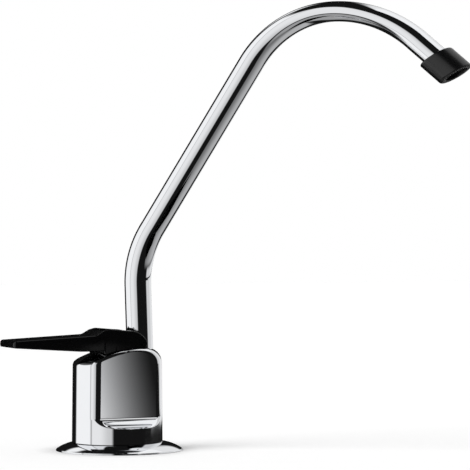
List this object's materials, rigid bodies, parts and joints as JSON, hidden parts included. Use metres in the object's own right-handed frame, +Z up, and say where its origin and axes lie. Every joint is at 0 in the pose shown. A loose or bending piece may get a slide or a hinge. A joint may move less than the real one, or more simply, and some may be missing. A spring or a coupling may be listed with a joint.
{
  "type": "drinking water filter tap",
  "caption": "Chrome drinking water filter tap with a black press-down lever, a long swivel gooseneck spout and a threaded shank for a worktop hole",
  "frame": {"origin": "Where the shank's axis meets the top of the worktop", "axes": "+Z up along the valve's axis, the lever points along -X, and the spout's swivel axis lies on the +X side"},
  "size_m": [0.153, 0.1243, 0.2336],
  "materials": {
    "chrome_plate": "mirror chrome plate",
    "black_plastic": "satin black moulded plastic",
    "black_rubber": "satin black rubber",
    "brass": "turned brass",
    "spring_steel": "plain spring steel",
    "white_plastic": "natural moulded plastic"
  },
  "bodies": {
    "fixed_base": {"body": "chrome_plate", "base_plate": "chrome_plate", "base_gasket": "black_rubber", "shank": "brass", "shank_seal": "black_rubber", "deck_washer": "black_plastic", "lock_washer": "spring_steel", "clamp_nut": "brass", "inlet_ferrule": "brass", "inlet_nut": "brass", "stem_guide": "white_plastic", "stem_o_ring": "black_rubber", "valve_spring": "spring_steel"},
    "pivot": {"pivot_bar": "spring_steel"},
    "handle": {"lever": "black_plastic"},
    "plunger": {"valve_stem": "brass", "seat_washer": "black_rubber"},
    "spout": {"spout_tube": "chrome_plate", "spout_spigot": "brass", "spout_o_rings": "black_rubber", "outlet_cap": "black_rubber"}
  },
  "joints": [
    {"name": "lever_press", "type": "hinge", "parent": "fixed_base", "child": "pivot", "pos_m": [-0.0065, 0, 0.0388], "axis": [0, -1, 0], "range_deg": [0, 11], "stiffness_Nm_per_rad": 0.05, "springref_deg": -14.32},
    {"name": "lever_flip", "type": "hinge", "parent": "pivot", "child": "handle", "pos_m": [0, 0, 0.0388], "axis": [0, 1, 0], "range_deg": [0, 60]},
    {"name": "stem_lift", "type": "slide", "parent": "fixed_base", "child": "plunger", "axis": [0, 0, 1], "range_m": [0, 0.00125], "deforming": ["valve_spring"]},
    {"name": "spout_swivel", "type": "hinge", "parent": "fixed_base", "child": "spout", "pos_m": [0.0095, 0, 0.0258], "axis": [0, 0, 1], "continuous": true}
  ],
  "couplings": [
    {"joint": "lever_press", "follows": "stem_lift", "rad_per_m": 153.85}
  ]
}
